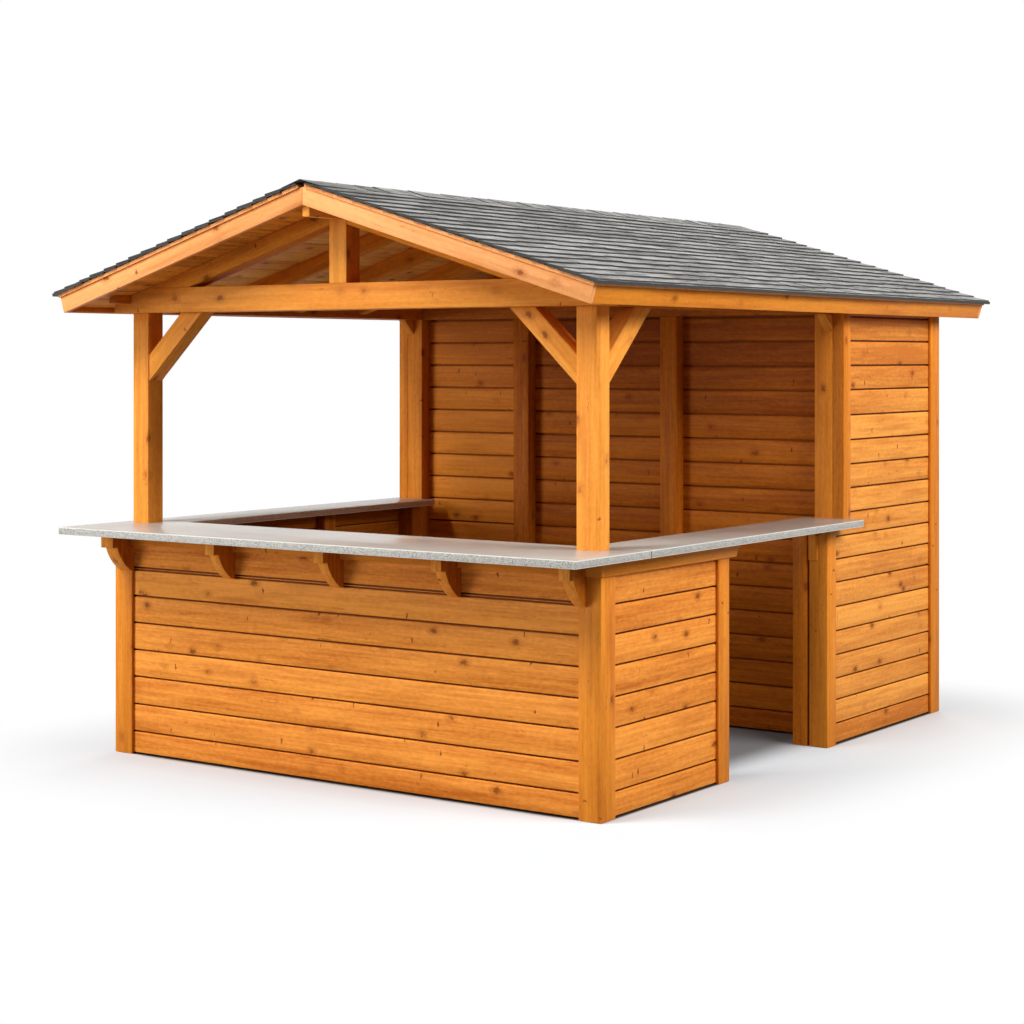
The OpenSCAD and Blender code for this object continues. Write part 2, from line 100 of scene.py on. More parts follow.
def stained_pine(name, pale, deep, knotty, gloss=0.07):
    """Amber stained pine whose fibres, red streaks, checks and knots follow each timber's own grain."""
    finish = bpy.data.materials.new(name)
    add = node_maker(finish)
    grain = add("ShaderNodeAttribute", {}, attribute_name="grain").outputs["Vector"]
    tone = add("ShaderNodeAttribute", {}, attribute_name="tone").outputs["Fac"]
    broad = noise(add, stretched(add, grain, (0.9, 9.0, 9.0)), 3.0)
    rings = add("ShaderNodeTexWave",
                {"Vector": stretched(add, grain, (0.06, 1.0, 1.0)), "Scale": 17.0, "Distortion": 14.0,
                 "Detail": 3.0, "Detail Scale": 0.7, "Detail Roughness": 0.6},
                wave_type="RINGS", rings_direction="X").outputs["Fac"]
    fibre = noise(add, stretched(add, grain, (9.0, 260.0, 260.0)), 2.0)
    streak = noise(add, stretched(add, grain, (2.2, 42.0, 42.0)), 2.0)
    mottle = noise(add, stretched(add, grain, (34.0, 75.0, 75.0)), 3.0)
    wander = noise(add, stretched(add, grain, (75.0, 75.0, 75.0)), 2.0, "Color")
    wander = stretched(add, wander, (0.026, 0.020, 0.020))
    bent = add("ShaderNodeVectorMath", {0: grain, 1: wander}, operation="ADD").outputs[0]
    nicks = scattered(add, bent, (17.0, 6.0, 6.0), 0.55, 0.06, 0.10)[0]
    knots, chosen, away = scattered(add, bent, (7.0, 11.0, 11.0), 0.26, 0.09, 0.17)
    halo = sums(add, "MULTIPLY", chosen, ramp(add, away, 0.08, 0.34, 1.0, 0.0))
    checks = ramp(add, noise(add, stretched(add, bent, (5.0, 110.0, 110.0)), 1.0), 0.72, 0.76, 0.0, 0.5)
    shade = sums(add, "MULTIPLY_ADD", broad, 1.15)
    shade.node.inputs[2].default_value = -0.42
    shade = sums(add, "ADD", shade, ramp(add, rings, 0.0, 1.0, -0.07, 0.07))
    shade = sums(add, "ADD", shade, ramp(add, streak, 0.25, 0.75, -0.30, 0.30))
    shade = sums(add, "ADD", shade, ramp(add, mottle, 0.25, 0.75, -0.20, 0.20))
    shade = sums(add, "ADD", shade, ramp(add, fibre, 0.2, 0.8, -0.17, 0.17))
    # Painted shade enters here through the tone, where a timber was given a shade lift by height.
    shade = sums(add, "ADD", shade, ramp(add, tone, -1.0, 1.0, -0.14, 0.66))
    colour = tint(add, ramp(add, shade, 0.0, 1.0, 0.0, 1.0), deep, pale)
    red = ramp(add, noise(add, stretched(add, grain, (1.7, 17.0, 17.0)), 3.0), 0.54, 0.74, 0.0, 0.42)
    colour = tint(add, red, colour, (0.40, 0.085, 0.010, 1.0))
    colour = tint(add, ramp(add, halo, 0.0, 1.0, 0.0, 0.55 * knotty), colour, (0.30, 0.060, 0.008, 1.0))
    colour = tint(add, ramp(add, nicks, 0.0, 1.0, 0.0, knotty), colour, (0.20, 0.038, 0.004, 1.0))
    colour = tint(add, ramp(add, knots, 0.0, 1.0, 0.0, knotty), colour, (0.27, 0.064, 0.007, 1.0))
    colour = tint(add, checks, colour, (0.20, 0.044, 0.007, 1.0))
    height = sums(add, "ADD", ramp(add, fibre, 0.0, 1.0, 0.0, 0.5), ramp(add, rings, 0.0, 1.0, 0.0, 0.3))
    height = sums(add, "SUBTRACT", height, sums(add, "MAXIMUM", checks, nicks))
    bump = add("ShaderNodeBump", {"Strength": 0.35, "Distance": 0.0012, "Height": height})
    shader = add("ShaderNodeBsdfPrincipled",
                 {"Base Color": colour, "Roughness": ramp(add, fibre, 0.2, 0.8, 0.42, 0.60),
                  "Specular IOR Level": gloss, "Normal": bump.outputs[0]})
    add("ShaderNodeOutputMaterial", {"Surface": shader.outputs[0]})
    return finish


def own_grain(piece, seed, shade_lift=None):
    """Marks each separate timber of a piece with its grain, along its longest edge, and a tone: a random
    draw plus any painted shade given by height.
    """
    mesh = piece.data
    spots = np.array([v.co for v in mesh.vertices])
    ends = np.array([e.vertices[:] for e in mesh.edges])
    label = np.arange(len(spots))
    while True:
        lower = label.copy()
        least = np.minimum(label[ends[:, 0]], label[ends[:, 1]])
        np.minimum.at(lower, ends[:, 0], least)
        np.minimum.at(lower, ends[:, 1], least)
        lower = lower[lower]
        if (lower == label).all():
            break
        label = lower
    draw = random.Random(seed)
    grain = np.zeros_like(spots)
    tone = np.zeros(len(spots))
    for part in np.unique(label):
        inside = label == part
        own = ends[inside[ends[:, 0]]]
        runs = spots[own[:, 1]] - spots[own[:, 0]]
        lengths = np.linalg.norm(runs, axis=1)
        along = runs[lengths.argmax()] / lengths.max()
        upright = abs(along[2]) > 0.9
        side = np.array([1.0, 0.0, 0.0]) if upright else np.cross((0.0, 0.0, 1.0), along)
        side /= np.linalg.norm(side)
        third = np.cross(along, side)
        local = spots[inside] - spots[inside].mean(0)
        pith = np.array([draw.uniform(0, 90), draw.uniform(-0.09, 0.09), draw.uniform(0.03, 0.12)])
        grain[inside] = np.column_stack([local @ along, local @ third, local @ side]) + pith
        tone[inside] = draw.random() + (shade_lift(spots[inside, 2].mean()) if shade_lift else 0.0)
    mesh.attributes.new("grain", "FLOAT_VECTOR", "POINT").data.foreach_set("vector", grain.ravel())
    mesh.attributes.new("tone", "FLOAT", "POINT").data.foreach_set("value", tone)


def settle(piece, finish, nodes):
    """Smooths a finished piece, gives it its finish and fixes it to the building."""
    bpy.ops.object.select_all(action="DESELECT")
    piece.select_set(True)
    bpy.context.view_layer.objects.active = piece
    bpy.ops.object.shade_smooth_by_angle(angle=math.radians(28))
    piece.data.materials.clear()
    piece.data.materials.append(finish)
    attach(piece, "root")
    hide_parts(*nodes)


def dressed(name, node, ease):
    """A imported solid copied, welded and planed flat, with its arrises eased."""
    piece = bpy.data.objects.new(name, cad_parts[node].data.copy())
    bpy.context.scene.collection.objects.link(piece)
    bpy.ops.object.select_all(action="DESELECT")
    piece.select_set(True)
    bpy.context.view_layer.objects.active = piece
    bpy.ops.mesh.customdata_custom_splitnormals_clear()
    bpy.ops.object.mode_set(mode="EDIT")
    bpy.ops.mesh.select_mode(type="EDGE")
    bpy.ops.mesh.select_all(action="SELECT")
    bpy.ops.mesh.remove_doubles(threshold=0.00002)
    bpy.ops.mesh.dissolve_limited(angle_limit=math.radians(0.5))
    bpy.ops.mesh.select_all(action="DESELECT")
    bpy.ops.mesh.edges_select_sharp(sharpness=math.radians(25))
    bpy.ops.mesh.bevel(offset=ease, segments=2, affect="EDGES", clamp_overlap=True)
    bpy.ops.object.mode_set(mode="OBJECT")
    return piece


def timber(node, ease, finish, seed):
    piece = dressed(node + "_timber", node, ease)
    own_grain(piece, seed)
    settle(piece, finish, [node])


post_pine = stained_pine("amber_post_pine", (0.91, 0.36, 0.055, 1.0), (0.66, 0.205, 0.022, 1.0), 0.8)
trim_pine = stained_pine("amber_trim_pine", (0.78, 0.265, 0.027, 1.0), (0.53, 0.145, 0.012, 1.0), 0.8)
ARRIS = 0.004
posts = [("front_left_post", post_pine), ("front_right_post", post_pine), ("store_left_post", trim_pine),
         ("store_right_post", trim_pine), ("rear_left_post", trim_pine), ("rear_right_post", trim_pine)]
for place, (post, finish) in enumerate(posts):
    timber(post, ARRIS, finish, 10 + place)


# Bar walls: solid pine boards laid level, tongue in groove, with a shadow gap at each seam.
# They stop under the counter; a bead is worked on the top board of the front wall.
board_pine = stained_pine("amber_board_pine", (0.95, 0.352, 0.056, 1.0), (0.54, 0.140, 0.014, 1.0), 0.95)
# Painted shade: a darker copy of the board finish, for inward faces and parts that stand in shade.
painted_shade_pine = stained_pine("painted_shade_finish", (0.60, 0.175, 0.012, 1.0), (0.31, 0.062, 0.003, 1.0), 0.95)
# Painted shade: a dark finish for the seams between the boards.
groove_shade_pine = stained_pine("painted_groove_shade", (0.30, 0.070, 0.006, 1.0), (0.17, 0.036, 0.003, 1.0), 0.0)
BOARD_GAP = 0.008
BOARD_EASE = 0.003
SHOULDER = 0.009
LEAST_BOARD = 0.02
GROUND_BOARD = 0.12
TONGUE_SET = 0.35
TONGUE_BACK = 0.004
GROOVE_SET = 0.22


def blocks(name, corners):
    """One mesh of boards, each a block between two corners, left in object mode."""
    bpy.ops.object.select_all(action="DESELECT")
    for count, (low, high) in enumerate(corners):
        low, high = Vector(low), Vector(high)
        bpy.ops.mesh.primitive_cube_add(size=1.0, location=(low + high) / 2, scale=high - low)
        if count == 0:
            piece = bpy.context.object
            piece.name = name
            bpy.ops.object.transform_apply(location=True, rotation=False, scale=True)
            bpy.ops.object.mode_set(mode="EDIT")
    bpy.ops.object.mode_set(mode="OBJECT")
    return piece


def runs_along(mesh, edge, run, least):
    reach = mesh.vertices[edge.vertices[1]].co - mesh.vertices[edge.vertices[0]].co
    return abs(reach.dot(run)) > max(least, 0.999 * reach.length)


def ease_along(piece, run, ease, segments=2, chosen=None):
    """Eases the edges that run along one axis, or the chosen ones among them."""
    bpy.ops.object.mode_set(mode="EDIT")
    bpy.ops.mesh.select_mode(type="EDGE")
    bpy.ops.mesh.select_all(action="DESELECT")
    bpy.ops.object.mode_set(mode="OBJECT")
    for edge in piece.data.edges:
        edge.select = runs_along(piece.data, edge, run, 0.05) and (chosen is None or edge.key in chosen)
    bpy.ops.object.mode_set(mode="EDIT")
    bpy.ops.mesh.bevel(offset=ease, segments=segments, affect="EDGES", clamp_overlap=True)
    bpy.ops.object.mode_set(mode="OBJECT")


def round_boards(boards, run):
    """Rounds the upper arrises of the boards into shoulders, eases the lower ones, leaves thin strips."""
    mesh = boards.data
    for facing, ease, segments in ((1, SHOULDER, 4), (-1, BOARD_EASE, 2)):
        tall = set()
        for edge in mesh.edges:
            if runs_along(mesh, edge, UPWARD, 3 * SHOULDER):
                tall.update(edge.vertices)
        chosen = {key for face in mesh.polygons if face.normal.z * facing > 0.9
                  for key in face.edge_keys if tall.issuperset(key)}
        ease_along(boards, run, ease, segments, chosen)


def shade_boards(ground, level, slope):
    """Painted shade: darkens the lowest board, and those above a level, close under a roof or counter."""
    return lambda height: ground if height < GROUND_BOARD else min(0.0, slope * (level - height))


def level_boards(low, high, seams, thick):
    """Corners of the boards of a wall between its seams, with the tongues inside them."""
    inner = [z for z in seams if low[2] + LEAST_BOARD < z < high[2] - LEAST_BOARD]
    levels = [low[2]] + inner + [high[2]]
    laid = []
    for bottom, top in zip(levels, levels[1:]):
        bottom += 0.0 if bottom == low[2] else BOARD_GAP / 2
        top -= 0.0 if top == high[2] else BOARD_GAP / 2
        laid.append(((low[0], low[1], bottom), (high[0], high[1], top)))
    slim = TONGUE_SET * (high[thick] - low[thick])
    tongue_low, tongue_high = Vector(low), Vector(high)
    for axis in range(3):
        inset = slim if axis == thick else TONGUE_BACK
        tongue_low[axis] += inset
        tongue_high[axis] -= inset
    return laid + [(tongue_low, tongue_high)]


def repaint(piece, finish, chosen):
    """Gives the chosen faces of a finished piece another finish."""
    piece.data.materials.append(finish)
    for face in piece.data.polygons:
        if chosen(face):
            face.material_index = len(piece.data.materials) - 1


def paint_groove_shade(boards, thick):
    """Paints the faces that lie between the two faces of a wall in the dark groove finish: painted shade in
    the seams.
    """
    depths = [corner.co[thick] for corner in boards.data.vertices]
    least, most = min(depths), max(depths)
    repaint(boards, groove_shade_pine,
            lambda face: GROOVE_SET < (face.center[thick] - least) / (most - least) < 1.0 - GROOVE_SET)


ALONG_X, ALONG_Y, UPWARD = Vector((1, 0, 0)), Vector((0, 1, 0)), Vector((0, 0, 1))
bar_seams = [0.109, 0.239, 0.370, 0.498, 0.627, 0.755, 0.879]
# Painted shade: a darker lowest board and darker boards close under the counter.
counter_shade = shade_boards(-0.8, 0.86, 4.0)

low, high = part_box("front_bar_wall")
front_boards = blocks("front_bar_boards", level_boards(low, high, bar_seams + [0.890], 1))
round_boards(front_boards, ALONG_X)
own_grain(front_boards, 21, counter_shade)
settle(front_boards, board_pine, ["front_bar_wall"])
# Painted shade: the inward faces take the darker shaded finish.
repaint(front_boards, painted_shade_pine, lambda face: face.normal.y > 0.9)
paint_groove_shade(front_boards, 1)

for seed, wall, seams, inward in ((22, "left_bar_wall", bar_seams + [0.980], 1),
                                  (24, "right_bar_wall", bar_seams, -1)):
    low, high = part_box(wall)
    boards = blocks(wall.replace("wall", "boards"), level_boards(low, high, seams, 0))
    round_boards(boards, ALONG_Y)
    own_grain(boards, seed, counter_shade)
    settle(boards, board_pine, [wall])
    # Painted shade: the inward faces take the darker shaded finish.
    repaint(boards, painted_shade_pine, lambda face: face.normal.x * inward > 0.9)
    paint_groove_shade(boards, 0)


# Studs and props: sawn pine uprights behind the bar walls, nailed to the boards, and the short
# posts at the entry and the left store post on which the counter rests.
FINE_ARRIS = 0.003
# Painted shade: the studs and props take the darker shaded finish.
for seed, upright in ((31, "bar_wall_studs"), (32, "counter_props")):
    timber(upright, FINE_ARRIS, painted_shade_pine, seed)


# Corner trims: planed pine boards nailed in an angle over the board ends, at the front corners,
# on both sides of the entry, beside the store posts and at the rear corners.
trims = ["front_left_corner_trim", "front_right_corner_trim", "entry_end_trim", "entry_jamb_trim",
         "store_trims", "rear_corner_trims"]
for place, trim in enumerate(trims):
    timber(trim, ARRIS, trim_pine, 40 + place)


# Counter rails and corbels: a planed rail under each slab, the right one with a coved end, and
# five sawn corbels with a lip and a round belly, notched over the front rail.
timber("counter_rails", FINE_ARRIS, trim_pine, 51)
timber("corbels", FINE_ARRIS, post_pine, 52)
# Painted shade: the corbels' side faces take the darker shaded finish.
repaint(bpy.data.objects["corbels_timber"], painted_shade_pine, lambda face: abs(face.normal.x) > 0.9)


# Counter: three slabs of pale grey speckled stone, honed on top and sawn at the edges, with a
# lighter ground arris. The inward edges are brown and dark: painted shade and painted reflection of
# the wood. They lie on the rails and meet with open seams.
def speckled_stone(name, grit_deep, grit_pale):
    """Grey stone with a honed face, and sawn edges in a tone of their own."""
    finish = bpy.data.materials.new(name)
    add = node_maker(finish)
    place = add("ShaderNodeTexCoord", {}).outputs["Object"]
    cloud = noise(add, stretched(add, place, (2.2, 2.2, 2.2)), 4.0)
    grit = noise(add, stretched(add, place, (210.0, 210.0, 210.0)), 2.0)
    dust = noise(add, stretched(add, place, (620.0, 620.0, 620.0)), 1.0)
    upward = add("ShaderNodeSeparateXYZ", {0: add("ShaderNodeNewGeometry", {}).outputs["True Normal"]})
    turned = add("ShaderNodeMath", {0: upward.outputs[2]}, operation="ABSOLUTE").outputs[0]
    sawn = ramp(add, turned, 0.90, 0.97, 1.0, 0.0)
    arris = sums(add, "MULTIPLY", sawn, ramp(add, turned, 0.12, 0.25, 0.0, 0.85))
    body = tint(add, ramp(add, cloud, 0.3, 0.7, 0.0, 1.0),
                (0.345, 0.308, 0.266, 1.0), (0.455, 0.412, 0.358, 1.0))
    edge = tint(add, ramp(add, grit, 0.34, 0.60, 0.0, 1.0), grit_deep, grit_pale)
    colour = tint(add, sawn, body, edge)
    colour = tint(add, arris, colour, (0.78, 0.76, 0.72, 1.0))
    colour = tint(add, ramp(add, grit, 0.58, 0.72, 0.0, 0.25), colour, (0.30, 0.29, 0.26, 1.0))
    colour = tint(add, ramp(add, dust, 0.60, 0.72, 0.0, 0.35), colour, (0.78, 0.77, 0.75, 1.0))
    height = sums(add, "MULTIPLY", grit, sawn)
    bump = add("ShaderNodeBump", {"Strength": 0.5, "Distance": 0.0012, "Height": height})
    shader = add("ShaderNodeBsdfPrincipled",
                 {"Base Color": colour, "Roughness": ramp(add, sawn, 0.0, 1.0, 0.26, 0.62),
                  "Normal": bump.outputs[0]})
    add("ShaderNodeOutputMaterial", {"Surface": shader.outputs[0]})
    return finish


counter_stone = speckled_stone("pale_speckled_stone", (0.17, 0.168, 0.148, 1.0), (0.46, 0.446, 0.408, 1.0))
shade_and_reflection_stone = speckled_stone("painted_shade_and_reflection_edge", (0.22, 0.105, 0.050, 1.0), (0.50, 0.260, 0.140, 1.0))
for counter, inward in (("front_counter", ALONG_Y), ("left_counter", ALONG_X), ("right_counter", -ALONG_X)):
    slab = dressed(counter + "_slab", counter, FINE_ARRIS)
    settle(slab, counter_stone, [counter])
    # Painted shade and painted reflection: the inward edges take the brown edge finish.
    repaint(slab, shade_and_reflection_stone, lambda face: face.normal.dot(inward) > 0.9)


# Store walls: the same level boards, up to the roof. The partition stands between the store
# posts, with its boards butted behind the studs, and the right wall reaches forward to the entry.
store_pine = stained_pine("amber_store_pine", (0.90, 0.365, 0.066, 1.0), (0.56, 0.165, 0.022, 1.0), 0.95)
# Painted shade: a darker lowest board and darker boards close under the eaves.
eave_shade = shade_boards(-1.2, 1.60, 3.0)
HALF_STUD = 0.05
ROOF_PITCH = math.radians(16.9)
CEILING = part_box("ridge_beam")[1][2]
store_seams = [0.102, 0.217, 0.322, 0.437, 0.554, 0.672, 0.792, 0.905, 1.016, 1.128, 1.247, 1.365,
               1.485, 1.608, 1.733, 1.853, 1.975, 2.095, 2.215, 2.335, 2.455]
partition_seams = [0.108 + 0.1245 * row for row in range(20)]


def under_roof(piece):
    """Cuts the boards of a gable to the slopes of the ceiling."""
    for side in (-1, 1):
        bpy.ops.object.mode_set(mode="EDIT")
        bpy.ops.mesh.select_all(action="SELECT")
        bpy.ops.mesh.bisect(plane_co=(0.0, 0.0, CEILING),
                            plane_no=(side * math.sin(ROOF_PITCH), 0.0, math.cos(ROOF_PITCH)),
                            use_fill=True, clear_outer=True)
        bpy.ops.object.mode_set(mode="OBJECT")


stud_low, stud_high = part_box("partition_studs")
bay_joints = [stud_low[0] + HALF_STUD, stud_high[0] - HALF_STUD]
# Painted shade: the partition boards take the darker shaded finish.
for seed, wall, seams, joints, finish in ((61, "partition_wall", partition_seams, bay_joints, painted_shade_pine),
                                          (62, "rear_wall", store_seams, [], store_pine)):
    low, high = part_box(wall)
    ends = [low[0]] + joints + [high[0]]
    laid = []
    for left, right in zip(ends, ends[1:]):
        laid += level_boards((left, low[1], low[2]), (right, high[1], high[2]), seams, 1)
    boards = blocks(wall.replace("wall", "boards"), laid)
    under_roof(boards)
    round_boards(boards, ALONG_X)
    own_grain(boards, seed, eave_shade)
    settle(boards, finish, [wall])
    if joints:
        # Painted light: the left bay of the partition takes the paler trim finish.
        repaint(boards, trim_pine, lambda face: face.center.x < joints[0])
    paint_groove_shade(boards, 1)

low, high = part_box("left_store_wall")
boards = blocks("left_store_boards", level_boards(low, high, store_seams, 0))
round_boards(boards, ALONG_Y)
own_grain(boards, 63, eave_shade)
settle(boards, store_pine, ["left_store_wall"])
paint_groove_shade(boards, 0)

low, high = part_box("right_store_wall")
front_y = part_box("left_store_wall")[0][1]
slab_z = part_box("right_counter")[0][2]
laid = level_boards(low, high, store_seams, 0)
tongue_low, tongue_high = laid.pop()
cut = []
for bottom, top in laid:
    if top[2] <= slab_z:
        cut.append((bottom, top))
    else:
        cut.append(((bottom[0], front_y, bottom[2]), top))
        if bottom[2] < slab_z:
            cut.append((bottom, (top[0], front_y, slab_z)))
cut.append(((tongue_low[0], front_y + TONGUE_BACK, tongue_low[2]), tongue_high))
cut.append((tongue_low, (tongue_high[0], front_y + TONGUE_BACK, slab_z - TONGUE_BACK)))
boards = blocks("right_store_boards", cut)
round_boards(boards, ALONG_Y)
own_grain(boards, 66, eave_shade)
settle(boards, store_pine, ["right_store_wall"])
paint_groove_shade(boards, 0)

# Painted shade: the partition studs take the darker shaded finish.
timber("partition_studs", ARRIS, painted_shade_pine, 65)


# Beams and braces: planed pine. The tie beam lies on the front posts with the king post and the
# truss rafters on it; plates, rafters and ridge beam carry the ceiling; braces stiffen the posts.
rafter_pine = stained_pine("matt_rafter_pine", (0.88, 0.31, 0.036, 1.0), (0.54, 0.150, 0.013, 1.0), 0.8,
                           gloss=0.01)
# Painted shade: the store beam and the plates take the darker shaded finish.
frame_timbers = [("tie_beam", post_pine), ("king_post", post_pine), ("truss_rafters", rafter_pine),
                 ("rafters", rafter_pine), ("store_beam", painted_shade_pine), ("left_plate", painted_shade_pine),
                 ("right_plate", painted_shade_pine), ("ridge_beam", post_pine), ("knee_braces", post_pine),
                 ("post_brackets", post_pine)]
for place, (beam, finish) in enumerate(frame_timbers):
    timber(beam, ARRIS, finish, 70 + place)
# Painted shade: the king post's side faces take the darker shaded finish.
repaint(bpy.data.objects["king_post_timber"], painted_shade_pine, lambda face: abs(face.normal.x) > 0.9)


# Roof boards: ceiling boards laid along the building, grooved at their seams, under a close deck
# whose edge shows over the bargeboards and the fascias. Behind the truss the ceiling boards take a
# paler finish: painted light.
ceiling_pine = stained_pine("ceiling_pine", (0.90, 0.33, 0.042, 1.0), (0.20, 0.045, 0.005, 1.0), 0.8)
painted_light_ceiling_pine = stained_pine("painted_light_ceiling", (1.0, 0.49, 0.115, 1.0), (0.66, 0.215, 0.030, 1.0), 0.8)
painted_light_barge_pine = stained_pine("painted_light_bargeboard", (0.92, 0.40, 0.145, 1.0), (0.70, 0.25, 0.058, 1.0), 0.8)
PANEL_T, DECK_T = 0.054, 0.015
CEILING_ROWS = 12
CEILING_GAP = 0.002
FASCIA_T = 0.024
TRUSS_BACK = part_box("truss_rafters")[1][1]
cos_pitch, sin_pitch = math.cos(ROOF_PITCH), math.sin(ROOF_PITCH)


def on_slope(side, down, up):
    """Place on a roof side: a distance down the slope and a height over the ceiling plane."""
    return Vector((side * (down * cos_pitch + up * sin_pitch), 0.0,
                   CEILING - down * sin_pitch + up * cos_pitch))


for side, deck in ((-1, "left_roof_deck"), (1, "right_roof_deck")):
    low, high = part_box(deck)
    panel_low, panel_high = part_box("eave_fascias")[0][1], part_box("eave_fascias")[1][1]
    slope_len = (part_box("eave_fascias")[1][0] - FASCIA_T) / cos_pitch - PANEL_T * math.tan(ROOF_PITCH)
    row = slope_len / CEILING_ROWS
    middle_y = (panel_low + panel_high) / 2
    bpy.ops.object.select_all(action="DESELECT")
    for count in range(CEILING_ROWS):
        spot = on_slope(side, (count + 0.5) * row, PANEL_T / 2)
        spot[1] = middle_y
        bpy.ops.mesh.primitive_cube_add(size=1.0, location=spot, rotation=(0.0, side * ROOF_PITCH, 0.0),
                                        scale=(row - CEILING_GAP, panel_high - panel_low, PANEL_T))
        if count == 0:
            roof_boards = bpy.context.object
            roof_boards.name = deck + "_boards"
            bpy.ops.object.transform_apply(location=True, rotation=True, scale=True)
            bpy.ops.object.mode_set(mode="EDIT")
    reach = high[0] if side > 0 else -low[0]
    deck_len = (reach - (PANEL_T + DECK_T) * sin_pitch) / cos_pitch
    spot = on_slope(side, deck_len / 2, PANEL_T + DECK_T / 2)
    spot[1] = (low[1] + high[1]) / 2
    bpy.ops.mesh.primitive_cube_add(size=1.0, location=spot, rotation=(0.0, side * ROOF_PITCH, 0.0),
                                    scale=(deck_len, high[1] - low[1], DECK_T))
    bpy.ops.object.mode_set(mode="OBJECT")
    ease_along(roof_boards, ALONG_Y, ARRIS)
    bpy.ops.object.mode_set(mode="EDIT")
    bpy.ops.mesh.select_all(action="SELECT")
    bpy.ops.mesh.bisect(plane_co=(0.0, TRUSS_BACK, 0.0), plane_no=ALONG_Y)
    bpy.ops.object.mode_set(mode="OBJECT")
    own_grain(roof_boards, 90 + side)
    settle(roof_boards, ceiling_pine, [deck])
    # Painted light: the ceiling behind the truss takes a paler finish.
    repaint(roof_boards, painted_light_ceiling_pine, lambda face: face.center.y > TRUSS_BACK and face.normal.z < -0.5)
    # Painted light: the deck edges take the paler bargeboard finish.
    repaint(roof_boards, painted_light_barge_pine, lambda face: (face.center.z - CEILING) * cos_pitch
            + abs(face.center.x) * sin_pitch > PANEL_T - 0.001)


# Bargeboards and fascias: planed pine boards nailed along the gable ends and the eaves, mitred
# at the ridge.
BARGE_ARRIS = 0.0025
# Painted light: the bargeboards take a paler finish than the fascias.
for seed, board, finish in ((101, "front_bargeboards", painted_light_barge_pine), (102, "rear_bargeboards", painted_light_barge_pine),
                            (103, "eave_fascias", trim_pine)):
    timber(board, BARGE_ARRIS, finish, seed)


# Shingles: felt shingles with grey granules, nailed in lapped courses from the eave up to the
# ridge. Each course lies on the one below, so its dark cut edge stands out as a step.
def granule_felt(name):
    finish = bpy.data.materials.new(name)
    add = node_maker(finish)
    tone = add("ShaderNodeAttribute", {}, attribute_name="tone").outputs["Fac"]
    place = add("ShaderNodeTexCoord", {}).outputs["Object"]
    speck = noise(add, stretched(add, place, (420.0, 420.0, 420.0)), 2.0)
    streak = noise(add, stretched(add, place, (60.0, 9.0, 60.0)), 2.0)
    patch = noise(add, stretched(add, place, (3.0, 3.0, 3.0)), 2.0)
    shade = ramp(add, tone, 0.0, 1.0, 0.10, 0.66)
    shade = sums(add, "ADD", shade, ramp(add, streak, 0.3, 0.7, -0.42, 0.42))
    shade = sums(add, "ADD", shade, ramp(add, patch, 0.3, 0.7, -0.04, 0.04))
    shade = sums(add, "ADD", shade, ramp(add, speck, 0.25, 0.75, -0.25, 0.25))
    colour = tint(add, ramp(add, shade, 0.0, 1.0, 0.0, 1.0),
                  (0.045, 0.043, 0.040, 1.0), (0.36, 0.35, 0.33, 1.0))
    bump = add("ShaderNodeBump", {"Strength": 0.6, "Distance": 0.0015, "Height": speck})
    shader = add("ShaderNodeBsdfPrincipled",
                 {"Base Color": colour, "Roughness": 0.85, "Normal": bump.outputs[0]})
    add("ShaderNodeOutputMaterial", {"Surface": shader.outputs[0]})
    return finish


def cut_felt(name):
    finish = bpy.data.materials.new(name)
    add = node_maker(finish)
    place = add("ShaderNodeTexCoord", {}).outputs["Object"]
    speck = noise(add, stretched(add, place, (300.0, 300.0, 300.0)), 2.0)
    colour = tint(add, ramp(add, speck, 0.3, 0.7, 0.0, 1.0),
                  (0.010, 0.010, 0.010, 1.0), (0.055, 0.053, 0.05, 1.0))
    shader = add("ShaderNodeBsdfPrincipled", {"Base Color": colour, "Roughness": 0.9})
    add("ShaderNodeOutputMaterial", {"Surface": shader.outputs[0]})
    return finish


shingle_felt = granule_felt("grey_granule_felt")
felt_edge = cut_felt("dark_cut_felt")
COURSES = 18
LAP = 1.9
FELT_T = 0.0068
TAB_WIDTHS = (0.15, 0.33)
LEAST_TAB = 0.12
TAB_GAP = 0.003
TAIL_BACK = 0.008
STARTER_LONG = 0.20
DECK_TOP = PANEL_T + DECK_T


def join_copies(name, master, copies):
    """Joins placed copies of one modelled piece into a single mesh and removes the master."""
    bpy.ops.object.select_all(action="DESELECT")
    for copy in copies:
        copy.select_set(True)
    bpy.context.view_layer.objects.active = copies[0]
    bpy.ops.object.join()
    joined = bpy.context.object
    joined.name = name
    bpy.ops.object.transform_apply(location=True, rotation=True, scale=True)
    bpy.data.objects.remove(master)
    return joined


def place_copy(master, spot, turn, size):
    copy = bpy.data.objects.new("copy", master.data.copy())
    bpy.context.scene.collection.objects.link(copy)
    copy.location, copy.rotation_euler, copy.scale = spot, turn, size
    return copy


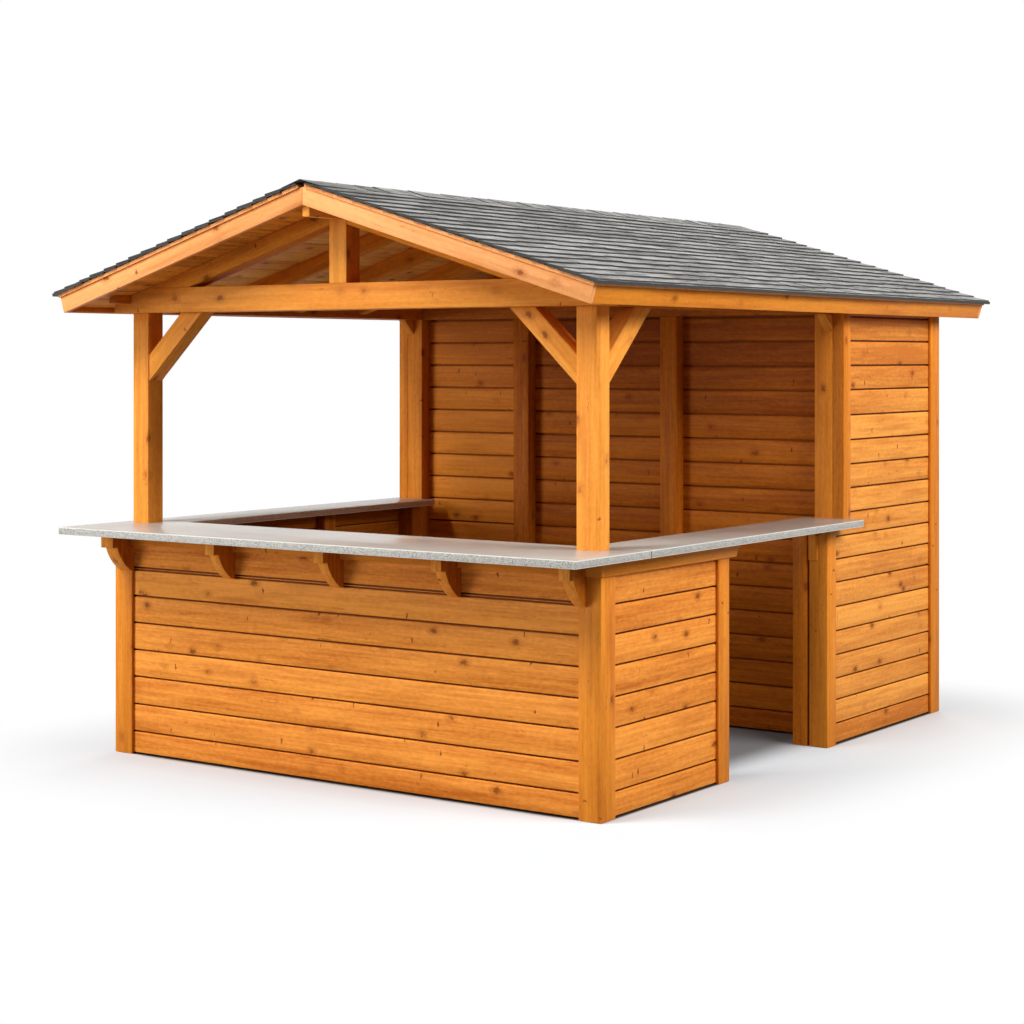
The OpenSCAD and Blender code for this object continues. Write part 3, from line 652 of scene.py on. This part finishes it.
for side, layer in ((-1, "left_shingles"), (1, "right_shingles")):
    draw = random.Random(120 + side)
    low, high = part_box(layer)
    slope_len = (max(high[0], -low[0]) - (DECK_TOP + 3 * FELT_T) * sin_pitch) / cos_pitch - TAIL_BACK
    lay = slope_len / COURSES
    bpy.ops.object.select_all(action="DESELECT")
    bpy.ops.mesh.primitive_cube_add(size=1.0)
    tab = bpy.context.object
    bpy.ops.object.mode_set(mode="EDIT")
    bpy.ops.mesh.select_all(action="SELECT")
    bpy.ops.mesh.subdivide(number_cuts=1)
    bpy.ops.mesh.select_all(action="DESELECT")
    bpy.ops.object.mode_set(mode="OBJECT")
    for corner in tab.data.vertices:
        corner.select = corner.co.x * side > 0.4 and abs(corner.co.y) < 0.1
    bpy.ops.object.mode_set(mode="EDIT")
    bpy.ops.transform.translate(value=(side * 0.04, 0.0, 0.0))
    bpy.ops.object.mode_set(mode="OBJECT")
    tabs = []
    for course in range(COURSES):
        tail = slope_len - course * lay
        head = max(tail - LAP * lay, 0.004)
        rise = math.atan2(LAP * FELT_T, LAP * lay)
        edge = low[1]
        while edge < high[1] - 0.001:
            width = draw.uniform(*TAB_WIDTHS)
            if high[1] - (edge + width) < LEAST_TAB:
                width = high[1] - edge
            drop = draw.uniform(-0.014, -0.007) if course == 0 else draw.uniform(-0.015, 0.007)
            length = tail + drop - head
            thick = FELT_T * draw.uniform(0.8, 1.25)
            up = DECK_TOP + FELT_T / 2 + LAP * FELT_T * (length / (LAP * lay)) / 2
            spot = on_slope(side, head + length / 2, up)
            spot[1] = edge + width / 2
            turn = (0.0, side * (ROOF_PITCH - rise), draw.uniform(-0.025, 0.025))
            tabs.append(place_copy(tab, spot, turn, (length, width - TAB_GAP, thick)))
            edge += width
    spot = on_slope(side, slope_len - STARTER_LONG / 2, DECK_TOP + FELT_T)
    spot[1] = (low[1] + high[1]) / 2
    tabs.append(place_copy(tab, spot, (0.0, side * ROOF_PITCH, 0.0),
                           (STARTER_LONG, high[1] - low[1], 2 * FELT_T)))
    courses = join_copies(layer.replace("shingles", "shingle_courses"), tab, tabs)
    own_grain(courses, 130 + side)
    settle(courses, shingle_felt, [layer])
    repaint(courses, felt_edge, lambda face: face.normal.x * side > 0.7 or abs(face.normal.y) > 0.7)


# Ridge cap: folded pieces of the same granule felt, nailed over the ridge, each lapped over the
# next towards the rear.
low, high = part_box("ridge_cap")
CAP_STEP = 0.13
CAP_LONG = 0.26
CAP_T = 0.003
CAP_DROP = 0.006
CAP_TILT = -0.012
bpy.ops.object.select_all(action="DESELECT")
bpy.ops.mesh.primitive_cube_add(size=1.0, scale=(high[0] - low[0], CAP_LONG, CAP_T))
fold = bpy.context.object
bpy.ops.object.transform_apply(location=True, rotation=False, scale=True)
bpy.ops.object.mode_set(mode="EDIT")
bpy.ops.mesh.select_all(action="SELECT")
bpy.ops.mesh.bisect(plane_co=(0.0, 0.0, 0.0), plane_no=(1.0, 0.0, 0.0))
bpy.ops.mesh.select_all(action="DESELECT")
bpy.ops.object.mode_set(mode="OBJECT")
for corner in fold.data.vertices:
    corner.select = abs(corner.co.x) > 0.05
bpy.ops.object.mode_set(mode="EDIT")
bpy.ops.transform.translate(value=(0.0, 0.0, -high[0] * math.tan(ROOF_PITCH)))
bpy.ops.object.mode_set(mode="OBJECT")
draw = random.Random(140)
caps = []
count = int((high[1] - low[1] - CAP_LONG) / CAP_STEP) + 1
step = (high[1] - low[1] - CAP_LONG) / count
for place in range(count + 1):
    spot = Vector((draw.uniform(-0.006, 0.006), low[1] + CAP_LONG / 2 + place * step, high[2] - CAP_DROP))
    caps.append(place_copy(fold, spot, (CAP_TILT, draw.uniform(-0.015, 0.015), 0.0), (1.0, 1.0, 1.0)))
ridge = join_copies("ridge_cap_folds", fold, caps)
own_grain(ridge, 141)
settle(ridge, shingle_felt, ["ridge_cap"])
repaint(ridge, felt_edge, lambda face: abs(face.normal.y) > 0.7 or abs(face.normal.x) > 0.8)


# Floor, light and camera: a pale studio floor that runs out to white and is darker under the
# building and close to its walls, soft lamps at a plain level, and the camera at the photograph's
# place with a level, shifted lens.
bpy.ops.object.select_all(action="DESELECT")
bpy.ops.mesh.primitive_circle_add(vertices=96, radius=40.0, fill_type="NGON")
floor = bpy.context.object
floor.name = "studio_floor"
floor_paint = bpy.data.materials.new("pale_floor")
add = node_maker(floor_paint)
place = add("ShaderNodeTexCoord", {}).outputs["Object"]


def outside(add, spot, half):
    """Distance on the floor from the edge of a box round the origin."""
    beside = add("ShaderNodeVectorMath", {0: spot}, operation="ABSOLUTE").outputs[0]
    beside = add("ShaderNodeVectorMath", {0: beside, 1: half}, operation="SUBTRACT").outputs[0]
    beside = add("ShaderNodeVectorMath", {0: beside, 1: (0.0, 0.0, 0.0)}, operation="MAXIMUM").outputs[0]
    return add("ShaderNodeVectorMath", {0: beside}, operation="LENGTH").outputs["Value"]


def fade(add, value, low, high, to_low, to_high):
    return add("ShaderNodeMapRange", {0: value, 1: low, 2: high, 3: to_low, 4: to_high},
               interpolation_type="SMOOTHSTEP").outputs[0]


CONTACT_SOFT = 0.02
away = outside(add, place, (1.08, 1.52, 0.0))
squeezed = stretched(add, place, (0.26, 1.0, 1.0))
# Painted shade: the floor is darker under the building.
under = fade(add, outside(add, squeezed, (0.281, 1.63, 0.0)), 0.0, 0.07, 1.0, 0.0)
far = sums(add, "ADD", fade(add, away, 0.15, 0.45, 0.0, 0.30), fade(add, away, 0.20, 1.30, 0.0, 0.70))
# Painted contact shadow: a dark strip under each wall's footprint, with a soft edge.
contact = 0.0
for wall in ("front_bar_wall", "left_bar_wall", "right_bar_wall", "partition_wall", "left_store_wall",
             "right_store_wall", "rear_wall"):
    low, high = Vector(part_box(wall)[0]), Vector(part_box(wall)[1])
    middle, half = (low + high) / 2, (high - low) / 2
    middle.z = half.z = 0.0
    beside = add("ShaderNodeVectorMath", {0: place, 1: middle}, operation="SUBTRACT").outputs[0]
    close = fade(add, outside(add, beside, half), 0.0, CONTACT_SOFT, 1.0, 0.0)
    contact = sums(add, "MAXIMUM", contact, close)
far = sums(add, "SUBTRACT", far, contact)
ray = add("ShaderNodeLightPath", {}).outputs
seen = sums(add, "MAXIMUM", ray["Is Camera Ray"], ray["Is Glossy Ray"])
pale = tint(add, seen, (0.22, 0.22, 0.22, 1.0), (0.635, 0.665, 0.69, 1.0))
ground = tint(add, under, pale, (0.16, 0.16, 0.16, 1.0))
plain = add("ShaderNodeBsdfDiffuse", {"Color": tint(add, contact, ground, (0.06, 0.055, 0.05, 1.0))})
white = add("ShaderNodeEmission", {"Color": (1.0, 1.0, 1.0, 1.0), "Strength": 1.0})
both = add("ShaderNodeMixShader",
           {0: sums(add, "MULTIPLY", far, seen), 1: plain.outputs[0], 2: white.outputs[0]})
add("ShaderNodeOutputMaterial", {"Surface": both.outputs[0]})
floor.data.materials.append(floor_paint)

SKY_LEVEL = 0.03
world = bpy.data.worlds.new("studio")
bpy.context.scene.world = world
add = node_maker(world)
ray = add("ShaderNodeLightPath", {}).outputs
shown = sums(add, "MAXIMUM", ray["Is Camera Ray"], ray["Is Glossy Ray"])
level = ramp(add, shown, 0.0, 1.0, SKY_LEVEL, 1.0)
sky = add("ShaderNodeBackground", {"Color": (1.0, 1.0, 1.0, 1.0), "Strength": level})
add("ShaderNodeOutputWorld", {"Surface": sky.outputs[0]})

for name, spot, aim, size, watts in (("key", (-3.5, -8.5, 9.5), (0.0, -0.5, 1.0), 5.0, 1480.0),
                                     ("low", (-9.0, -14.0, 3.2), (0.0, 0.0, 1.4), 6.0, 1170.0),
                                     ("right", (9.5, -2.5, 8.0), (0.5, 0.0, 1.0), 5.0, 690.0),
                                     ("far_right", (10.0, 1.5, 6.0), (0.5, 0.0, 1.0), 4.0, 740.0),
                                     ("back", (-4.0, 11.0, 6.0), (0.0, 0.0, 1.2), 5.0, 700.0)):
    lamp = bpy.data.lights.new(name + "_softbox", "AREA")
    lamp.shape = "SQUARE"
    lamp.size = size
    lamp.energy = watts
    holder = bpy.data.objects.new(name + "_softbox", lamp)
    bpy.context.scene.collection.objects.link(holder)
    holder.location = spot
    holder.rotation_euler = (Vector(aim) - Vector(spot)).to_track_quat("-Z", "Y").to_euler()

lens = bpy.data.cameras.new("camera")
lens.sensor_width = 36.0
lens.lens = 74.28
lens.shift_y = -0.1506
camera = bpy.data.objects.new("camera", lens)
bpy.context.scene.collection.objects.link(camera)
camera.location = (6.001, -8.885, 1.891)
camera.rotation_euler = (math.radians(90.0), 0.0, math.radians(35.01))
bpy.context.scene.camera = camera
bpy.context.scene.view_settings.view_transform = "Standard"
